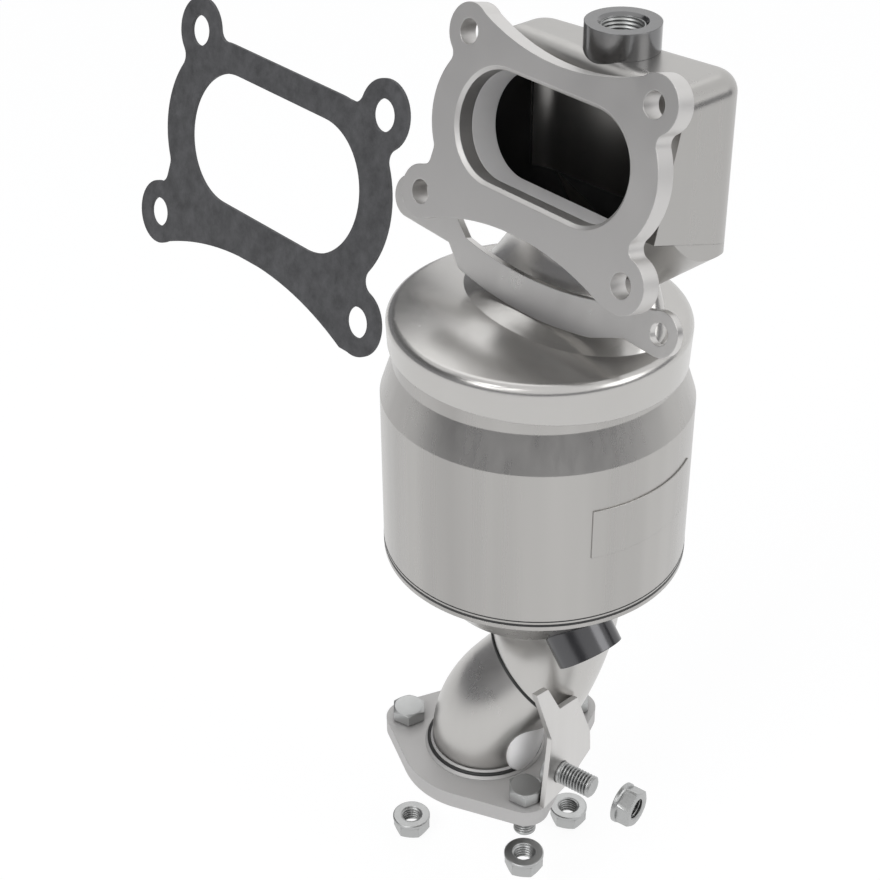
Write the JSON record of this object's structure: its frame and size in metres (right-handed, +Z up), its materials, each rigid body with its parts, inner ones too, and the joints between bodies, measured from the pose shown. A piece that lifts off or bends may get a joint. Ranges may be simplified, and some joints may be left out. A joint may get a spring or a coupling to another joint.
{
  "type": "catalytic converter",
  "caption": "Catalytic converter with a turned-down inlet chamber, a four-hole inlet flange, a short round can, a skewed outlet elbow and a three-bolt outlet flange.",
  "frame": {"origin": "centre of the outlet pipe's end, in the outlet flange's lower face", "axes": "+Z up along the can, away from the outlet; the inlet face looks to the front left, towards -X and -Y"},
  "size_m": [0.2094, 0.2105, 0.4456],
  "materials": {
    "stainless": "satin",
    "machined_steel": "satin",
    "bracket_steel": "satin",
    "weld_steel": "satin",
    "dark_steel": "gloss",
    "zinc_steel": "satin",
    "gasket_sheet": "matte",
    "brick_ceramic": "matte",
    "mat_fibre": "matte",
    "wire_mesh": "matte"
  },
  "bodies": {
    "root": {"inlet_flange": "machined_steel", "inlet_gasket": "gasket_sheet", "inlet_collar": "stainless", "collar_weld": "weld_steel", "inlet_chamber": "stainless", "inlet_pan": "stainless", "front_sensor_bung": "dark_steel", "upper_cap": "stainless", "can_shell": "stainless", "label_plate": "stainless", "ceramic_brick": "brick_ceramic", "support_mat": "mat_fibre", "front_mesh_seal": "wire_mesh", "rear_mesh_seal": "wire_mesh", "lower_pan": "stainless", "outlet_cone": "stainless", "rear_sensor_bung": "dark_steel", "outlet_elbow": "stainless", "mouth_ring": "stainless", "outlet_flange": "machined_steel", "foot_weld": "weld_steel", "flange_bolts": "zinc_steel", "flange_nuts": "zinc_steel", "upper_bracket": "bracket_steel", "lower_bracket": "bracket_steel", "bracket_stud": "zinc_steel", "bracket_nut": "zinc_steel"}
  },
  "joints": []
}
